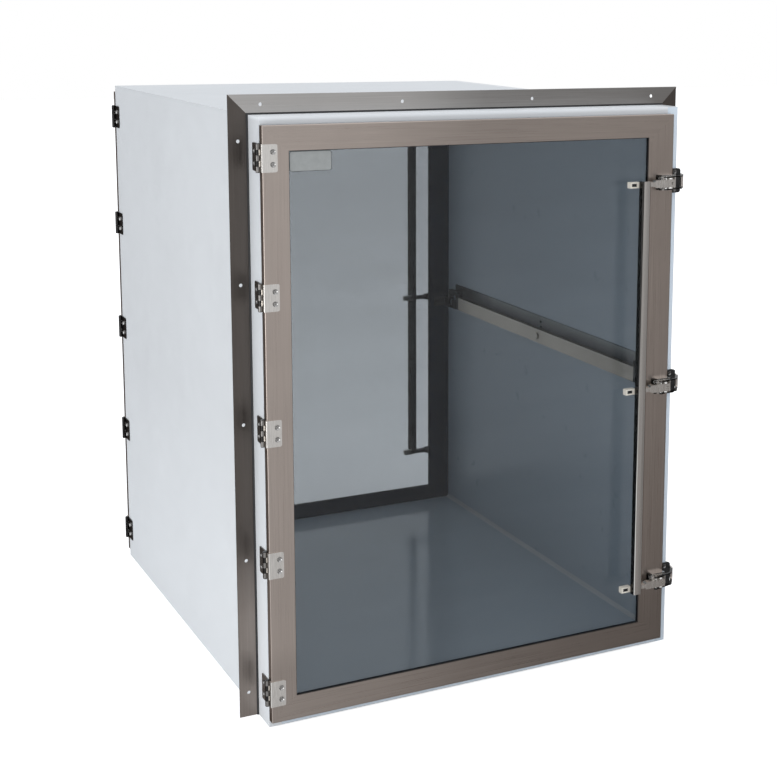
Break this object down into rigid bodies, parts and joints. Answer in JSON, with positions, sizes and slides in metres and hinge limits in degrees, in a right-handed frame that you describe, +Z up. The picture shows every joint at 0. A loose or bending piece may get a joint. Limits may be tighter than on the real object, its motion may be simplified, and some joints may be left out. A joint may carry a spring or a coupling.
{
  "type": "cleanroom pass box",
  "caption": "White cleanroom pass box with a stainless wall flange, glazed hinged doors at both ends, claw latches tied by a handle bar and a rocking door interlock.",
  "frame": {"origin": "middle of the cabinet in width and depth, on the surface it stands on", "axes": "+X to the right of the front door, the front door faces -Y, +Z up"},
  "size_m": [0.763, 0.9206, 0.943],
  "materials": {
    "polypropylene": "semi-gloss white sheet",
    "stainless": "brushed",
    "fastener_steel": "bright turned",
    "tinted_glass": "polished, grey tinted",
    "black_rubber": "matt",
    "black_plastic": "matt",
    "black_metal": "satin black"
  },
  "bodies": {
    "cabinet": {"panel_left": "polypropylene", "panel_right": "polypropylene", "panel_top": "polypropylene", "panel_bottom": "polypropylene", "corner_coves": "polypropylene", "flange_left": "stainless", "flange_right": "stainless", "flange_top": "stainless", "flange_seal": "black_rubber", "flange_screws": "fastener_steel", "interlock_backing": "black_plastic", "interlock_backing_screws": "black_metal", "interlock_pivot_bolt": "fastener_steel", "front_hinge_cabinet_leaves": "stainless", "front_hinge_pins": "fastener_steel", "front_cabinet_screws": "fastener_steel", "front_keepers": "black_metal", "rear_hinge_cabinet_leaves": "stainless", "rear_hinge_pins": "fastener_steel", "rear_cabinet_screws": "fastener_steel", "rear_keepers": "black_metal"},
    "interlock_rocker": {"interlock_bar": "stainless", "interlock_bushing": "black_plastic", "interlock_ends": "black_plastic"},
    "front_door": {"front_door_frame": "stainless", "front_door_glass": "tinted_glass", "front_glazing_gasket": "black_rubber", "front_glass_retainer": "stainless", "front_door_seal": "black_rubber", "front_hinge_door_leaves": "stainless", "front_door_screws": "fastener_steel", "front_interlock_striker": "black_metal", "front_latch_bases": "stainless", "front_latch_pins": "fastener_steel"},
    "front_handle": {"front_handle_bar": "stainless", "front_latch_levers": "stainless", "front_claw_pins": "fastener_steel"},
    "front_claw_lower": {"front_claw_lower": "stainless"},
    "front_claw_middle": {"front_claw_middle": "stainless"},
    "front_claw_upper": {"front_claw_upper": "stainless"},
    "rear_door": {"rear_door_frame": "stainless", "rear_door_glass": "tinted_glass", "rear_glazing_gasket": "black_rubber", "rear_glass_retainer": "stainless", "rear_door_seal": "black_rubber", "rear_hinge_door_leaves": "stainless", "rear_door_screws": "fastener_steel", "rear_interlock_striker": "black_metal", "rear_latch_bases": "stainless", "rear_latch_pins": "fastener_steel"},
    "rear_handle": {"rear_handle_bar": "stainless", "rear_latch_levers": "stainless", "rear_claw_pins": "fastener_steel"},
    "rear_claw_lower": {"rear_claw_lower": "stainless"},
    "rear_claw_middle": {"rear_claw_middle": "stainless"},
    "rear_claw_upper": {"rear_claw_upper": "stainless"}
  },
  "joints": [
    {"name": "front_door_hinge", "type": "hinge", "parent": "cabinet", "child": "front_door", "pos_m": [-0.3561, -0.416, 0.4568], "axis": [0, 0, -1], "range_deg": [0, 170]},
    {"name": "front_handle_pivot", "type": "hinge", "parent": "front_door", "child": "front_handle", "pos_m": [0.323, -0.4428, 0.4568], "axis": [0, 0, 1], "range_deg": [0, 120]},
    {"name": "front_claw_lower_pivot", "type": "hinge", "parent": "front_handle", "child": "front_claw_lower", "pos_m": [0.3131, -0.44419, 0.1198], "axis": [0, 0, 1], "range_deg": [-140, 2]},
    {"name": "front_claw_middle_pivot", "type": "hinge", "parent": "front_handle", "child": "front_claw_middle", "pos_m": [0.3131, -0.44419, 0.4568], "axis": [0, 0, 1], "range_deg": [-140, 2]},
    {"name": "front_claw_upper_pivot", "type": "hinge", "parent": "front_handle", "child": "front_claw_upper", "pos_m": [0.3131, -0.44419, 0.7938], "axis": [0, 0, 1], "range_deg": [-140, 2]},
    {"name": "rear_door_hinge", "type": "hinge", "parent": "cabinet", "child": "rear_door", "pos_m": [-0.3561, 0.416, 0.4568], "axis": [0, 0, 1], "range_deg": [0, 170]},
    {"name": "rear_handle_pivot", "type": "hinge", "parent": "rear_door", "child": "rear_handle", "pos_m": [0.323, 0.4428, 0.4568], "axis": [0, 0, -1], "range_deg": [0, 120]},
    {"name": "rear_claw_lower_pivot", "type": "hinge", "parent": "rear_handle", "child": "rear_claw_lower", "pos_m": [0.3131, 0.44419, 0.1198], "axis": [0, 0, -1], "range_deg": [-140, 2]},
    {"name": "rear_claw_middle_pivot", "type": "hinge", "parent": "rear_handle", "child": "rear_claw_middle", "pos_m": [0.3131, 0.44419, 0.4568], "axis": [0, 0, -1], "range_deg": [-140, 2]},
    {"name": "rear_claw_upper_pivot", "type": "hinge", "parent": "rear_handle", "child": "rear_claw_upper", "pos_m": [0.3131, 0.44419, 0.7938], "axis": [0, 0, -1], "range_deg": [-140, 2]},
    {"name": "interlock_pivot", "type": "hinge", "parent": "cabinet", "child": "interlock_rocker", "pos_m": [0.32595, 0, 0.456], "axis": [1, 0, 0], "range_deg": [-1.6, 1.6]}
  ],
  "couplings": [
    {"joint": "front_claw_lower_pivot", "follows": "front_handle_pivot", "ratio": -1.15},
    {"joint": "front_claw_middle_pivot", "follows": "front_handle_pivot", "ratio": -1.15},
    {"joint": "front_claw_upper_pivot", "follows": "front_handle_pivot", "ratio": -1.15},
    {"joint": "rear_claw_lower_pivot", "follows": "rear_handle_pivot", "ratio": -1.15},
    {"joint": "rear_claw_middle_pivot", "follows": "rear_handle_pivot", "ratio": -1.15},
    {"joint": "rear_claw_upper_pivot", "follows": "rear_handle_pivot", "ratio": -1.15}
  ]
}
